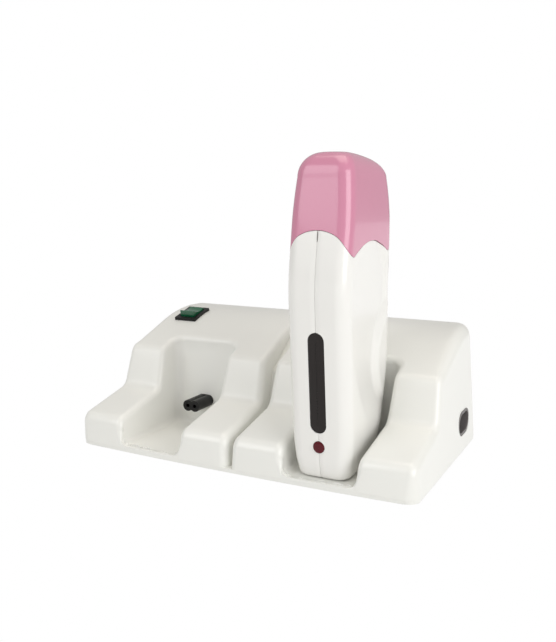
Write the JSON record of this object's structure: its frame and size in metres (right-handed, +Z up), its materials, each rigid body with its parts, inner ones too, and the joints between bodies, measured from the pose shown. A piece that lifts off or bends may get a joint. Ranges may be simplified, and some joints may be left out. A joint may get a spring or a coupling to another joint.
{
  "type": "roll_on_wax_heater",
  "caption": "Double docking base in white plastic with one upright roll-on wax heater handset, pink cap, level window, rocker switch and mains inlet.",
  "frame": {"origin": "on the surface the feet stand on, centred on the whole object's width and depth", "axes": "+Z up, +X to the right seen from the front, the bays and the handset's window face -Y"},
  "size_m": [0.2716, 0.1663, 0.2194],
  "materials": {
    "white_abs": "moulded, semi-gloss",
    "rubber_feet": "moulded, matt",
    "zinc_steel": "zinc plated",
    "black_plastic": "moulded, fine spark grain",
    "green_lens": "translucent, glossy",
    "inlet_plastic": "moulded, matt",
    "brass_pins": "nickel-bright turned pins",
    "inner_plastic": "moulded, plain",
    "wire_sleeving": "extruded",
    "window_plastic": "smoked, polished",
    "red_lens": "translucent, polished",
    "aluminium_sheet": "folded sheet",
    "heater_foil": "polyimide film",
    "board_laminate": "solder-resist coated",
    "cartridge_plastic": "blow-moulded, clear",
    "white_head": "moulded",
    "honey_wax": "cast wax",
    "pink_cap": "moulded, glossy"
  },
  "bodies": {
    "base": {"base_housing": "white_abs", "base_plate": "white_abs", "base_feet": "rubber_feet", "base_screws": "zinc_steel", "switch_frame": "black_plastic", "power_inlet": "inlet_plastic", "inlet_pins": "brass_pins", "left_dock_plug": "black_plastic", "right_dock_plug": "black_plastic", "plug_brackets": "inner_plastic", "terminal_block": "inner_plastic", "base_wiring": "wire_sleeving"},
    "rocker": {"switch_rocker": "green_lens"},
    "handset": {"handset_left_shell": "white_abs", "handset_right_shell": "white_abs", "level_window": "window_plastic", "indicator_lens": "red_lens", "indicator_lamp": "inner_plastic", "heater_sleeve": "aluminium_sheet", "heater_plates": "heater_foil", "thermostat": "zinc_steel", "handset_socket": "black_plastic", "handset_pins": "brass_pins", "control_board": "board_laminate", "handset_wiring": "wire_sleeving", "handset_screws": "zinc_steel"},
    "cartridge": {"cartridge_body": "cartridge_plastic", "cartridge_head": "white_head", "wax_fill": "honey_wax", "roller_axle": "zinc_steel"},
    "roller": {"roller": "white_head"},
    "cap": {"cap": "pink_cap"}
  },
  "joints": [
    {"name": "switch_rock", "type": "hinge", "parent": "base", "child": "rocker", "pos_m": [-0.1047, 0.03809, 0.08848], "axis": [1, 0, 0], "range_deg": [0, 16]},
    {"name": "handset_undock", "type": "slide", "parent": "base", "child": "handset", "axis": [0, -1, 0], "range_m": [0, 0.14]},
    {"name": "cartridge_lift", "type": "slide", "parent": "handset", "child": "cartridge", "axis": [0, 0, 1], "range_m": [0, 0.125]},
    {"name": "cap_lift", "type": "slide", "parent": "cartridge", "child": "cap", "axis": [0, 0, 1], "range_m": [0, 0.07]},
    {"name": "roller_spin", "type": "hinge", "parent": "cartridge", "child": "roller", "pos_m": [0.0685, -0.04055, 0.1983], "axis": [0, 1, 0], "continuous": true}
  ]
}
